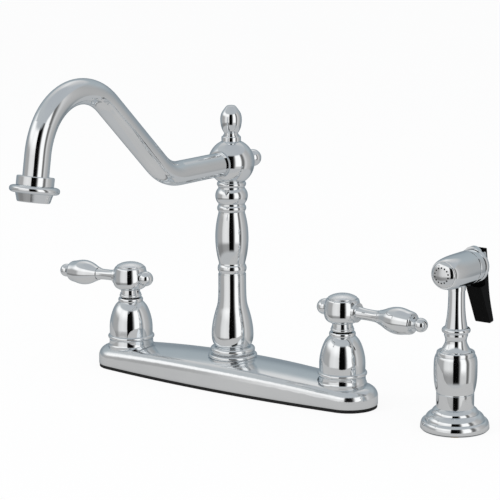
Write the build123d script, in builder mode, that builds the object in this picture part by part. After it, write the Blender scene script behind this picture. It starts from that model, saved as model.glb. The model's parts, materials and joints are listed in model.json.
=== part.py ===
import os
from math import atan2, cos, radians, sin, tan

from build123d import *

# Widespread two-handle kitchen faucet with a gooseneck spout and a hand sprayer.
# Millimetres; the deck is z = 0, the plate runs along x, the spout points to -y.

# Deck plate and gasket
handle_pitch = 203.2
gasket_t = 2.6
gasket_inset = 0.4
gasket_band = 5.6
plate_half_width = 27.9
plate_end_r = 21.9
plate_end_reach = 5.6
plate_wall = 2.2
plate_edge_r = 8.0
plate_arch_r = 1050.0
plate_cross_r = 75.0
pad_z = 16.8
crown_rise = 6.6
spout_seat_rise = 5.6
seat_margin = 0.3

# Clearances
run_fit = 0.06
slip_fit = 0.05
face_gap = 0.05
turn_gap = 0.8
free_gap = 0.3

# Valve bodies, cross tubes and deck hardware
deck_t = 12.0
shank_r = 10.4
shank_len = 48.0
inlet_end_r = 10.2
inlet_end_len = 22.0
inlet_r = 5.0
barrel_r = 12.2
barrel_rise = 27.2
shoulder_r = 14.0
shoulder_h = 10.4
port_offset = 4.6
port_r = 2.4
tube_z = 9.5
tube_r = 4.0
tube_wall = 0.9
tube_depth = 4.0
washer_r = 17.5
washer_t = 1.6
nut_flats = 30.0
nut_h = 8.0

# Cartridges, from the seat in the valve body upwards
seat_rise = 7.2
pocket_r = 9.0
seal_t = 1.2
fixed_disc_r = 8.6
fixed_disc_t = 2.4
moving_disc_r = 8.0
moving_disc_t = 2.6
spindle_flange_r = 7.6
spindle_flange_t = 2.6
spindle_r = 5.0
spline_r = 4.6
cartridge_flange_r = 10.6
cartridge_flange_t = 3.0
cartridge_neck_r = 7.0

# Bells under the handles
bell_foot_r = 18.2
bell_foot_lip = 1.4
bell_foot_h = 5.6
bell_groove = 0.8
bell_ridge_r = 18.5
bell_ridge_h = 3.4
bell_r = 17.1
bell_h = 39.2
bell_collar_r = 9.4
bell_collar_h = 3.0
bell_collar_bulge = 0.5
bell_wall = 1.6
bell_mouth_r = 7.4

# Handles, lengths stacked from the bell's top
hub_ring_r = 8.8
hub_ring_h = 2.2
hub_step_r = 8.2
hub_step_h = 0.9
hub_neck_r = 7.6
hub_neck_h = 2.9
hub_low_h = 8.2
hub_r = 13.6
hub_high_h = 10.0
hub_rim_r = 11.6
lever_h = 15.6
lever_droop = 2.0
lever_collar_r = 7.3
lever_collar_reach = 14.4
lever_root_r = 4.9
lever_waist_r = 4.2
lever_len = 33.0
lever_stud_r = 3.0
lever_step = 0.7
grip_r = 9.9
tip_r = 5.2
tip_reach = 67.6
tip_stand = 5.4
tip_ring_r = 5.8
grip_stud_r = 2.5
back_ball_r = 5.95
back_ball_reach = 15.8
back_stud_r = 2.0
back_stud_len = 9.0
cap_r = 10.8
cap_edge = 0.9
cap_rise = 3.8
cap_plug_r = 6.0
cap_plug_h = 1.8
screw_r = 1.2

# Spout base and post
base_ring_r = 18.9
base_ring_h = 3.0
bearing_t = 0.5
bearing_r = 15.8
post_r = 8.6
post_end = 5.0
post_bore_r = 4.2
hub_block_r = 13.0
hub_block_h = 15.2
nipple_r = 7.0
nipple_len = 26.0
nipple_bore_r = 3.0
spray_way_r = 1.3
spray_way_y = 6.2
diverter_r = 5.2
diverter_h = 10.0
diverter_bed_h = 12.0
o_ring_r = 0.95
o_ring_rise = 22.0
o_ring_pitch = 9.0
clip_rise = 5.0
clip_t = 1.4
clip_r = 9.2
clip_depth = 1.6

# Column, lengths stacked from its foot
foot_r = 17.2
foot_h = 5.2
foot_edge = 1.4
column_neck_r = 13.2
vase_r = 16.1
vase_rise = 9.6
column_shoulder_r = 12.9
column_shoulder_rise = 18.4
waist_r = 10.65
waist_rise = 24.8
waist_len = 3.75
groove_r = 10.1
groove_len = 1.25
bead_r = 11.1
low_bead_len = 6.2
belly_r = 12.7
belly_len = 38.7
mid_bead_len = 4.7
knob_r = 12.4
knob_len = 11.7
top_bead_len = 3.9
column_bore_r = 6.0
tenon_r = 8.0
tenon_h = 4.0

# Ball head and finials
ball_r = 17.65
ball_lift = 14.6
top_flat_lift = 15.8
back_flat_lift = 16.4
boss_r = 10.1
boss_reach = 16.6
arm_depth = 9.0
finial_collar_r = 7.4
finial_collar_h = 4.2
finial_neck_r = 5.4
finial_neck_len = 2.6
finial_neck_ring = 0.8
egg_r = 8.15
egg_low_h = 9.4
egg_high_h = 11.4
finial_stud_r = 2.5
finial_stud_h = 7.0
back_neck_r = 3.6
back_finial_r = 6.5
back_finial_reach = 27.5

# Spout tube and outlet
spout_r = 9.0
spout_wall = 1.4
elbow_reach = 78.6
elbow_r = 37.0
rise_angle = 42.5
rise_len = 73.0
crook_r = 42.7
crook_angle = 100.9
front_r = 52.3
front_angle = 21.6
drop_len = 19.6
collar_r = 12.85
collar_len = 6.4
collar_cover = 5.4
collar_tenon_r = 10.8
collar_tenon_len = 3.5
aerator_ring_r = 17.1
aerator_ring_t = 5.2
aerator_top_r = 12.8
aerator_low_r = 11.3
aerator_len = 11.1
aerator_lip_t = 1.1
aerator_lip_r = 9.0
aerator_pocket_r = 10.2
washer_seal_t = 1.5
insert_plate_t = 1.4
jet_r = 0.8
inner_jet_count = 6
inner_jet_ring_r = 3.4
outer_jet_count = 12
outer_jet_ring_r = 6.8

# Hand sprayer
sprayer_x = 202.0
sprayer_y = -6.0
holder_top_z = 26.8
holder_r = 13.5
holder_bore_r = 11.3
holder_shank_r = 12.6
holder_shank_len = 34.0
holder_flange_r = 24.6
holder_nut_flats = 34.0
flange_edge_h = 1.2
low_tier_r = 22.0
low_tier_h = 6.2
mid_tier_r = 17.4
mid_tier_h = 4.8
top_tier_h = 4.2
tier_step = 0.5
tail_r = 11.0
tail_len = 20.0
urn_foot_r = 13.6
urn_r = 15.5
urn_low_h = 18.8
urn_lip_r = 14.3
urn_high_h = 8.4
urn_lip_step = 0.6
urn_shoulder_r = 12.7
urn_shoulder_h = 3.2
flare_r = 12.0
flare_h = 3.4
cove_r = 7.6
cove_h = 7.4
cove_rise = 3.9
ring_bed_r = 8.5
ring_bed_h = 1.6
ring_r = 10.2
ring_h = 4.2
neck_foot_r = 8.1
neck_r = 5.9
neck_taper_h = 10.9
neck_taper_r = 6.4
neck_len = 26.7
neck_tenon_r = 4.5
neck_tenon_h = 5.0
water_way_r = 2.6
coupling_r = 8.5
coupling_h = 12.0
coupling_stub_r = 5.5
coupling_stub_len = 18.0
coupling_bore_r = 3.4
head_rise = 13.8
head_rear_r = 12.0
head_rear_reach = 13.0
head_mid_r = 12.0
head_nose_r = 11.5
head_nose_len = 7.0
head_front_r = 9.9
head_front_reach = 18.6
saddle_r = 6.4
face_r = 9.3
face_t = 1.5
face_recess = 1.2
face_dome = 2.8
chamber_r = 7.4
chamber_depth = 11.0
face_hole_r = 0.6
face_hole_ring_r = 5.4
face_hole_count = 14
cap_groove_r = 10.8
cap_groove_len = 0.9
cap_band_r = 12.0
cap_band_len = 5.3
cap_step_r = 11.2
cap_ring_r = 12.6
cap_ring_len = 11.4
hood_width = 11.0
hood_len = 4.3
hood_rise = 14.0
hood_side = 3.0
hood_depth = 5.5
lug_inner = 4.1
lug_t = 2.2
lug_r = 2.6
pin_r = 1.2
pin_back = 27.3
pin_rise = 7.2
trigger_width = 12.4
trigger_tongue = 7.8
trigger_foot_back = 40.6
trigger_foot_drop = 44.6
trigger_foot_t = 5.8
trigger_hook_back = 23.2
trigger_hook_drop = 15.6
trigger_front_back = 28.3
trigger_rear_back = 33.4
trigger_rear_dip = 6.0
trigger_belly_back = 37.0
trigger_belly_drop = 23.6
trigger_top_rise = 4.6
trigger_top_t = 1.4
trigger_foot_rise = 0.6
trigger_edge_r = 1.4
plunger_r = 3.0
plunger_waist_r = 2.0
plunger_disc_r = 4.6
plunger_disc_t = 1.5

# Sizes that follow from the ones above
handle_x = handle_pitch / 2
plate_end_x = handle_x + plate_end_reach
spout_seat_z = pad_z + spout_seat_rise
crown_z = pad_z + crown_rise
underside_z = pad_z - plate_wall
hub_top_z = spout_seat_z - plate_wall
barrel_top_z = pad_z + barrel_rise
valve_seat_z = pad_z + seat_rise
bell_top_z = pad_z + bell_h
handle_z = bell_top_z + turn_gap
o_ring_levels = (spout_seat_z + o_ring_rise, spout_seat_z + o_ring_rise + o_ring_pitch)
clip_z = o_ring_levels[1] + clip_rise
post_top_z = clip_z + post_end
column_z = spout_seat_z + base_ring_h + bearing_t + face_gap
vase_z = column_z + foot_h + vase_rise
column_shoulder_z = vase_z + column_shoulder_rise
waist_z = column_shoulder_z + waist_rise
turnings = ((bead_r, low_bead_len), (belly_r, belly_len), (bead_r, mid_bead_len),
            (knob_r, knob_len), (bead_r, top_bead_len))
column_top_z = waist_z + waist_len + sum(groove_len + length for _, length in turnings)
ball_z = column_top_z + ball_lift
hub_neck_z = handle_z + hub_ring_h + hub_step_h + hub_neck_h
hub_mid_z = hub_neck_z + hub_low_h
cap_z = hub_mid_z + hub_high_h
lever_z = handle_z + lever_h
grip_end = tip_reach - tip_stand
grip_len = grip_end - lever_len
screw_z = hub_neck_z - hub_neck_h / 2
body_z = holder_top_z + face_gap
lip_z = body_z + urn_low_h + urn_high_h
urn_top_z = lip_z + urn_shoulder_h
cove_z = urn_top_z + cove_h
ring_bed_z = cove_z + cove_rise
ring_z = ring_bed_z + ring_bed_h
neck_foot_z = ring_z + ring_h
neck_top = neck_foot_z + neck_len
head_z = neck_top + head_rise

os.makedirs("parts", exist_ok=True)


def keep(block, label):
    block.part.label = label
    export_step(block.part, f"parts/{label}.step")


def upright(x=0.0, y=0.0, side=1):
    # Plane through an upright axis: local x is the radius, local y the height.
    return Plane(origin=(x, y, 0), x_dir=(side, 0, 0), z_dir=(0, -side, 0))


def level(x, y, z):
    return Plane(origin=(x, y, z), x_dir=(1, 0, 0), z_dir=(0, 0, 1))


def ring(label, centres, z0, z1, outer_r, inner_r):
    with BuildPart() as body:
        for x, y in centres:
            with BuildSketch(level(x, y, z0)):
                Circle(outer_r)
                Circle(inner_r, mode=Mode.SUBTRACT)
        extrude(amount=z1 - z0)
    keep(body, label)


def hex_nut(label, centres, z0, z1, flats, hole_r):
    with BuildPart() as body:
        for x, y in centres:
            with BuildSketch(level(x, y, z0)):
                RegularPolygon(flats / 2, 6, major_radius=False)
                Circle(hole_r, mode=Mode.SUBTRACT)
        extrude(amount=z1 - z0)
    keep(body, label)


def lens_outline(inset):
    # Boat-shaped outline: two long arcs that run smoothly into round ends.
    half_width = plate_half_width - inset
    end_r = plate_end_r - inset
    rise = half_width - end_r
    centre_y = (plate_end_x**2 - rise**2) / (2 * rise)
    lean = atan2(plate_end_x, centre_y)
    join_x = plate_end_x + end_r * sin(lean)
    join_y = end_r * cos(lean)
    with BuildSketch() as outline:
        with BuildLine():
            ThreePointArc((-join_x, -join_y), (0, -half_width), (join_x, -join_y))
            ThreePointArc((join_x, -join_y), (plate_end_x + end_r, 0), (join_x, join_y))
            ThreePointArc((join_x, join_y), (0, half_width), (-join_x, join_y))
            ThreePointArc((-join_x, join_y), (-plate_end_x - end_r, 0), (-join_x, -join_y))
        make_face()
    return outline.sketch


def plate_block(inset, drop, edge_r):
    # Crowned block: the top is arched along the plate and across it, and its edge is rolled.
    top_z = crown_z - drop
    side_y = plate_half_width + plate_wall
    side_z = top_z - plate_cross_r + (plate_cross_r**2 - side_y**2) ** 0.5
    with BuildPart() as block:
        with BuildSketch(Plane.XY.offset(gasket_t)):
            add(lens_outline(inset))
        extrude(amount=top_z)
        with BuildSketch(Plane.YZ):
            with BuildLine():
                ThreePointArc((-side_y, side_z), (0, top_z), (side_y, side_z))
                Polyline((side_y, side_z), (side_y, -side_y), (-side_y, -side_y), (-side_y, side_z))
            make_face()
        revolve(axis=Axis((0, 0, top_z - plate_arch_r), (0, 1, 0)), mode=Mode.INTERSECT)
        walls = block.faces().filter_by(lambda f: abs(f.normal_at(f.center()).Z) < 0.01)
        rim = walls.edges().filter_by(lambda e: e.bounding_box().min.Z > gasket_t + plate_wall)
        fillet(rim, edge_r)
    return block.part


# Seats on the plate: place along x, height, radius of the piece above and of the piece below.
seats = ((-handle_x, pad_z, bell_foot_r, shoulder_r), (handle_x, pad_z, bell_foot_r, shoulder_r),
         (0, spout_seat_z, base_ring_r, hub_block_r))

with BuildPart() as plate_hollow:
    add(plate_block(plate_wall, plate_wall, plate_edge_r - plate_wall))
    for x, seat_z, above_r, below_r in seats:
        with BuildSketch(level(x, 0, seat_z - plate_wall)):
            Circle(above_r + seat_margin + plate_wall)
        extrude(amount=crown_z, mode=Mode.SUBTRACT)

with BuildPart() as deck_plate:
    add(plate_block(0, 0, plate_edge_r))
    for x, seat_z, above_r, below_r in seats:
        with BuildSketch(level(x, 0, seat_z)):
            Circle(above_r + seat_margin)
        extrude(amount=crown_z, mode=Mode.SUBTRACT)
        with BuildSketch(level(x, 0, seat_z)):
            Circle(above_r + seat_margin)
        extrude(amount=-plate_edge_r)
    add(plate_hollow.part, mode=Mode.SUBTRACT)
    for x, seat_z, above_r, below_r in seats:
        with BuildSketch(level(x, 0, seat_z - plate_wall)):
            Circle(below_r + free_gap)
        extrude(amount=-plate_edge_r, mode=Mode.SUBTRACT)
    for x, hole_r in ((-handle_x, barrel_r), (handle_x, barrel_r), (0, post_r)):
        with BuildSketch(level(x, 0, 0)):
            Circle(hole_r + free_gap)
        extrude(amount=crown_z, mode=Mode.SUBTRACT)
keep(deck_plate, "deck_plate")

with BuildPart() as deck_gasket:
    with BuildSketch():
        add(lens_outline(gasket_inset))
    extrude(amount=gasket_t)
    with BuildSketch():
        add(lens_outline(gasket_inset + gasket_band))
    extrude(amount=gasket_t, mode=Mode.SUBTRACT)
keep(deck_gasket, "deck_gasket")

handle_centres = ((-handle_x, 0), (handle_x, 0))
ring("mounting_washers", handle_centres, -deck_t - washer_t, -deck_t, washer_r, shank_r + slip_fit)
hex_nut("mounting_nuts", handle_centres, -deck_t - washer_t - nut_h, -deck_t - washer_t, nut_flats,
        shank_r + slip_fit)

with BuildPart() as spout_hub:
    with BuildSketch(level(0, 0, hub_top_z - hub_block_h)):
        Circle(hub_block_r)
    extrude(amount=hub_block_h)
    with BuildSketch(level(0, 0, hub_top_z)):
        Circle(post_r)
    extrude(amount=post_top_z - hub_top_z)
    with BuildSketch(level(0, 0, hub_top_z - hub_block_h)):
        Circle(nipple_r)
    extrude(amount=-nipple_len - hub_top_z + hub_block_h)
    with BuildSketch(level(0, 0, tube_z - tube_r)):
        Circle(post_bore_r)
    extrude(amount=post_top_z, mode=Mode.SUBTRACT)
    with BuildSketch(level(0, 0, spout_seat_z + diverter_bed_h)):
        Circle(diverter_r + run_fit)
    extrude(amount=post_top_z, mode=Mode.SUBTRACT)
    with BuildSketch(level(0, 0, -nipple_len)):
        Circle(nipple_bore_r)
    extrude(amount=nipple_len + spray_way_r, mode=Mode.SUBTRACT)
    with BuildSketch(level(0, 0, 0)):
        with Locations((0, spray_way_y)):
            Circle(spray_way_r)
    extrude(amount=spout_seat_z + diverter_bed_h + diverter_r, mode=Mode.SUBTRACT)
    with BuildSketch(Plane(origin=(0, 0, 0), x_dir=(1, 0, 0), z_dir=(0, 1, 0))):
        Circle(spray_way_r)
    extrude(amount=spray_way_y, mode=Mode.SUBTRACT)
    with BuildSketch(Plane(origin=(0, 0, tube_z), x_dir=(0, 1, 0), z_dir=(1, 0, 0))):
        Circle(tube_r - tube_wall)
    extrude(amount=hub_block_r, both=True, mode=Mode.SUBTRACT)
    for side in (-1, 1):
        with BuildSketch(Plane(origin=(side * (hub_block_r - tube_depth), 0, tube_z), z_dir=(side, 0, 0))):
            Circle(tube_r + slip_fit)
        extrude(amount=tube_depth, mode=Mode.SUBTRACT)
    with BuildSketch(upright()):
        for ring_level in o_ring_levels:
            with Locations((post_r, ring_level)):
                Rectangle(4 * o_ring_r, 2 * o_ring_r + 2 * slip_fit)
        with Locations((post_r, clip_z)):
            Rectangle(2 * clip_depth, clip_t + 2 * slip_fit)
    revolve(axis=Axis.Z, mode=Mode.SUBTRACT)
keep(spout_hub, "spout_hub")

with BuildPart() as hub_o_rings:
    with BuildSketch(upright()):
        for ring_level in o_ring_levels:
            with Locations((post_r - o_ring_r + run_fit / 2, ring_level)):
                Circle(o_ring_r)
    revolve(axis=Axis.Z)
keep(hub_o_rings, "hub_o_rings")

with BuildPart() as retaining_ring:
    with BuildSketch(level(0, 0, clip_z - clip_t / 2)):
        Circle(clip_r)
        Circle(post_r - clip_depth + slip_fit, mode=Mode.SUBTRACT)
        with Locations((0, clip_r)):
            Rectangle(clip_t, 2 * clip_t + clip_r, mode=Mode.SUBTRACT)
    extrude(amount=clip_t)
keep(retaining_ring, "retaining_ring")

bearing_z = spout_seat_z + base_ring_h
with BuildPart() as base_ring:
    with BuildSketch(upright()):
        with BuildLine():
            edge_r = base_ring_r - base_ring_h / 3
            ThreePointArc((edge_r, spout_seat_z), (base_ring_r, spout_seat_z + base_ring_h / 2),
                          (edge_r, bearing_z))
            Polyline((edge_r, bearing_z), (post_r + free_gap, bearing_z), (post_r + free_gap, spout_seat_z),
                     (edge_r, spout_seat_z))
        make_face()
    revolve(axis=Axis.Z)
keep(base_ring, "base_ring")

ring("bearing_washer", ((0, 0),), bearing_z, bearing_z + bearing_t, bearing_r, post_r + free_gap)

with BuildPart() as diverter_plunger:
    with BuildSketch(level(0, 0, spout_seat_z + diverter_bed_h + face_gap)):
        Circle(diverter_r)
        Circle(post_bore_r - tube_wall, mode=Mode.SUBTRACT)
    extrude(amount=diverter_h)
keep(diverter_plunger, "diverter_plunger")

with BuildPart() as spout_column:
    with BuildSketch(upright()):
        with BuildLine():
            bore_r = post_r + run_fit
            Line((bore_r, column_z), (foot_r - foot_edge, column_z))
            Spline((foot_r - foot_edge, column_z), (foot_r, column_z + foot_h * 0.45),
                   (column_neck_r, column_z + foot_h), tangents=((1, 0.6), (-1, 0)))
            Spline((column_neck_r, column_z + foot_h), (vase_r, vase_z),
                   (column_shoulder_r, column_shoulder_z), (waist_r, waist_z), tangents=((1, 0.9), (0, 1)))
            turn_z = waist_z + waist_len
            Polyline((waist_r, waist_z), (waist_r, turn_z), (groove_r, turn_z))
            for turn_r, turn_len in turnings:
                low_z = turn_z + groove_len
                turn_z = low_z + turn_len
                Line((groove_r, low_z - groove_len), (groove_r, low_z))
                ThreePointArc((groove_r, low_z), (turn_r, (low_z + turn_z) / 2), (groove_r, turn_z))
            Polyline((groove_r, column_top_z), (tenon_r, column_top_z), (tenon_r, column_top_z + tenon_h),
                     (column_bore_r, column_top_z + tenon_h), (column_bore_r, post_top_z + free_gap),
                     (bore_r, post_top_z + free_gap), (bore_r, column_z))
        make_face()
    revolve(axis=Axis.Z)
    with BuildSketch(level(0, 0, clip_z - clip_t / 2 - free_gap)):
        Circle(clip_r + free_gap)
    extrude(amount=clip_t + 2 * free_gap, mode=Mode.SUBTRACT)
keep(spout_column, "spout_column")

with BuildPart() as ball_head:
    with Locations((0, 0, ball_z)):
        Sphere(ball_r)
    split(bisect_by=Plane.XY.offset(ball_z - ball_lift), keep=Keep.TOP)
    split(bisect_by=Plane.XY.offset(ball_z + top_flat_lift), keep=Keep.BOTTOM)
    split(bisect_by=Plane.XZ.offset(boss_reach), keep=Keep.BOTTOM)
    split(bisect_by=Plane.XZ.offset(-back_flat_lift), keep=Keep.TOP)
    with BuildSketch(Plane(origin=(0, -boss_reach, ball_z), z_dir=(0, 1, 0))):
        Circle(boss_r)
    extrude(amount=arm_depth)
    with BuildSketch(Plane(origin=(0, -boss_reach, ball_z), z_dir=(0, 1, 0))):
        Circle(spout_r + slip_fit)
    extrude(amount=arm_depth, mode=Mode.SUBTRACT)
    with BuildSketch(Plane(origin=(0, -boss_reach, ball_z), z_dir=(0, 1, 0))):
        Circle(column_bore_r)
    extrude(amount=boss_reach, mode=Mode.SUBTRACT)
    with BuildSketch(level(0, 0, ball_z - ball_lift)):
        Circle(tenon_r + slip_fit)
    extrude(amount=tenon_h + slip_fit, mode=Mode.SUBTRACT)
    with BuildSketch(level(0, 0, ball_z - ball_lift)):
        Circle(column_bore_r)
    extrude(amount=ball_lift + column_bore_r / 2, mode=Mode.SUBTRACT)
    with BuildSketch(level(0, 0, ball_z + top_flat_lift)):
        Circle(finial_stud_r + slip_fit)
    extrude(amount=-finial_stud_h - slip_fit, mode=Mode.SUBTRACT)
    with BuildSketch(Plane(origin=(0, back_flat_lift, ball_z), z_dir=(0, -1, 0))):
        Circle(finial_stud_r + slip_fit)
    extrude(amount=finial_stud_h + slip_fit, mode=Mode.SUBTRACT)
keep(ball_head, "ball_head")

with BuildPart() as top_finial:
    finial_z = ball_z + top_flat_lift
    collar_top_z = finial_z + finial_collar_h
    ring_top_z = collar_top_z + finial_neck_ring
    egg_low_z = collar_top_z + finial_neck_len
    egg_mid_z = egg_low_z + egg_low_h
    egg_top_z = egg_mid_z + egg_high_h
    with BuildSketch(upright()):
        with BuildLine():
            Polyline((0, finial_z - finial_stud_h), (finial_stud_r, finial_z - finial_stud_h),
                     (finial_stud_r, finial_z), (finial_collar_r - 0.4, finial_z),
                     (finial_collar_r, finial_z + 0.6), (finial_collar_r, collar_top_z - 1.0))
            Spline((finial_collar_r, collar_top_z - 1.0), (finial_neck_r + finial_neck_ring, collar_top_z),
                   tangents=((0, 1), (-1, 0)))
            Polyline((finial_neck_r + finial_neck_ring, collar_top_z),
                     (finial_neck_r + finial_neck_ring, ring_top_z), (finial_neck_r, ring_top_z),
                     (finial_neck_r, egg_low_z))
            Spline((finial_neck_r, egg_low_z), (egg_r * 0.93, egg_mid_z - egg_low_h * 0.48),
                   (egg_r, egg_mid_z), (egg_r * 0.87, egg_mid_z + egg_high_h * 0.5),
                   (egg_r * 0.53, egg_mid_z + egg_high_h * 0.85), (0, egg_top_z),
                   tangents=((0.75, 1), (-1, 0)))
            Line((0, egg_top_z), (0, finial_z - finial_stud_h))
        make_face()
    revolve(axis=Axis.Z)
keep(top_finial, "top_finial")

with BuildPart() as back_finial:
    with BuildSketch(Plane(origin=(0, 0, ball_z), x_dir=(0, 0, 1), z_dir=(-1, 0, 0))):
        with BuildLine():
            join = back_finial_reach - (back_finial_r**2 - back_neck_r**2) ** 0.5
            Polyline((0, back_flat_lift - finial_stud_h), (finial_stud_r, back_flat_lift - finial_stud_h),
                     (finial_stud_r, back_flat_lift), (back_neck_r + 1.0, back_flat_lift),
                     (back_neck_r + 1.0, back_flat_lift + 1.4), (back_neck_r, back_flat_lift + 2.0),
                     (back_neck_r, join))
            ThreePointArc((back_neck_r, join), (back_finial_r, back_finial_reach),
                          (0, back_finial_reach + back_finial_r))
            Line((0, back_finial_reach + back_finial_r), (0, back_flat_lift - finial_stud_h))
        make_face()
    revolve(axis=Axis((0, 0, ball_z), (0, 1, 0)))
keep(back_finial, "back_finial")

arm_start = boss_reach - arm_depth
arm_end = elbow_reach - elbow_r * tan(radians(rise_angle / 2))
with BuildPart() as spout_tube:
    with BuildLine(Plane.YZ) as spout_path:
        arm = Line((-arm_start, ball_z), (-arm_end, ball_z))
        elbow = JernArc(arm @ 1, arm % 1, elbow_r, -rise_angle)
        rise = Line(elbow @ 1, elbow @ 1 + (elbow % 1) * rise_len)
        crook = JernArc(rise @ 1, rise % 1, crook_r, crook_angle)
        front = JernArc(crook @ 1, crook % 1, front_r, front_angle)
        drop = Line(front @ 1, front @ 1 + (front % 1) * drop_len)
    with BuildSketch(Plane(origin=(0, -arm_start, ball_z), z_dir=(0, -1, 0))):
        Circle(spout_r)
        Circle(spout_r - spout_wall, mode=Mode.SUBTRACT)
    sweep(path=spout_path.wires()[0])
keep(spout_tube, "spout_tube")

outlet_end = spout_path.wires()[0] @ 1
outlet_dir = spout_path.wires()[0] % 1
outlet_axis = Axis(outlet_end, outlet_dir)
outlet_side = Vector(1, 0, 0).cross(outlet_dir)
outlet_plane = Plane(origin=outlet_end, x_dir=(1, 0, 0), z_dir=outlet_side)

collar_end = collar_len - collar_cover
with BuildPart() as outlet_collar:
    with BuildSketch(outlet_plane):
        with BuildLine():
            Polyline((spout_r + slip_fit, -collar_cover), (collar_r - 0.5, -collar_cover),
                     (collar_r, 0.5 - collar_cover), (collar_r, collar_end - 0.4),
                     (collar_r - 0.4, collar_end), (collar_tenon_r, collar_end),
                     (collar_tenon_r, collar_end + collar_tenon_len),
                     (spout_r - spout_wall, collar_end + collar_tenon_len), (spout_r - spout_wall, slip_fit),
                     (spout_r + slip_fit, slip_fit), (spout_r + slip_fit, -collar_cover))
        make_face()
    revolve(axis=outlet_axis)
keep(outlet_collar, "outlet_collar")

tenon_end = collar_end + collar_tenon_len
aerator_end = collar_end + aerator_len
with BuildPart() as aerator_housing:
    with BuildSketch(outlet_plane):
        with BuildLine():
            ring_low = collar_end + aerator_ring_t
            lip_start = aerator_end - aerator_lip_t
            Polyline((collar_tenon_r + slip_fit, collar_end), (aerator_top_r, collar_end))
            Spline((aerator_top_r, collar_end), (aerator_ring_r, collar_end + aerator_ring_t / 2),
                   (aerator_top_r, ring_low), tangents=((1, 0), (-1, 0)))
            Polyline((aerator_top_r, ring_low), (aerator_low_r, aerator_end - 0.5),
                     (aerator_low_r - 0.5, aerator_end), (aerator_lip_r, aerator_end),
                     (aerator_lip_r, lip_start), (aerator_pocket_r, lip_start),
                     (aerator_pocket_r, tenon_end), (collar_tenon_r + slip_fit, tenon_end),
                     (collar_tenon_r + slip_fit, collar_end))
        make_face()
    revolve(axis=outlet_axis)
keep(aerator_housing, "aerator_housing")

with BuildPart() as aerator_washer:
    with BuildSketch(outlet_plane):
        with Locations(((spout_r - spout_wall + aerator_pocket_r) / 2, tenon_end + washer_seal_t / 2)):
            Rectangle(aerator_pocket_r - spout_r + spout_wall - 2 * slip_fit, washer_seal_t)
    revolve(axis=outlet_axis)
keep(aerator_washer, "aerator_washer")

insert_top = tenon_end + washer_seal_t
insert_low = aerator_end - aerator_lip_t
with BuildPart() as aerator_insert:
    with BuildSketch(outlet_plane):
        with BuildLine():
            wall_out = aerator_pocket_r - 2 * slip_fit
            wall_in = wall_out - 1.2
            Polyline((0, insert_low - insert_plate_t), (wall_in, insert_low - insert_plate_t),
                     (wall_in, insert_top), (wall_out, insert_top), (wall_out, insert_low), (0, insert_low),
                     (0, insert_low - insert_plate_t))
        make_face()
    revolve(axis=outlet_axis)
    jet_origin = outlet_end + outlet_dir * insert_low
    with BuildSketch(Plane(origin=jet_origin, x_dir=(1, 0, 0), z_dir=outlet_dir)):
        with PolarLocations(inner_jet_ring_r, inner_jet_count):
            Circle(jet_r)
        with PolarLocations(outer_jet_ring_r, outer_jet_count):
            Circle(jet_r)
    extrude(amount=-insert_plate_t, mode=Mode.SUBTRACT)
keep(aerator_insert, "aerator_insert")

fixed_disc_z = valve_seat_z + seal_t
moving_disc_z = fixed_disc_z + fixed_disc_t + face_gap
flange_z = moving_disc_z + moving_disc_t
chamber_top_z = flange_z + spindle_flange_t + free_gap
spindle_top_z = lever_z - lever_stud_r - 1.0
cartridge_top_z = bell_top_z - bell_collar_h

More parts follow.
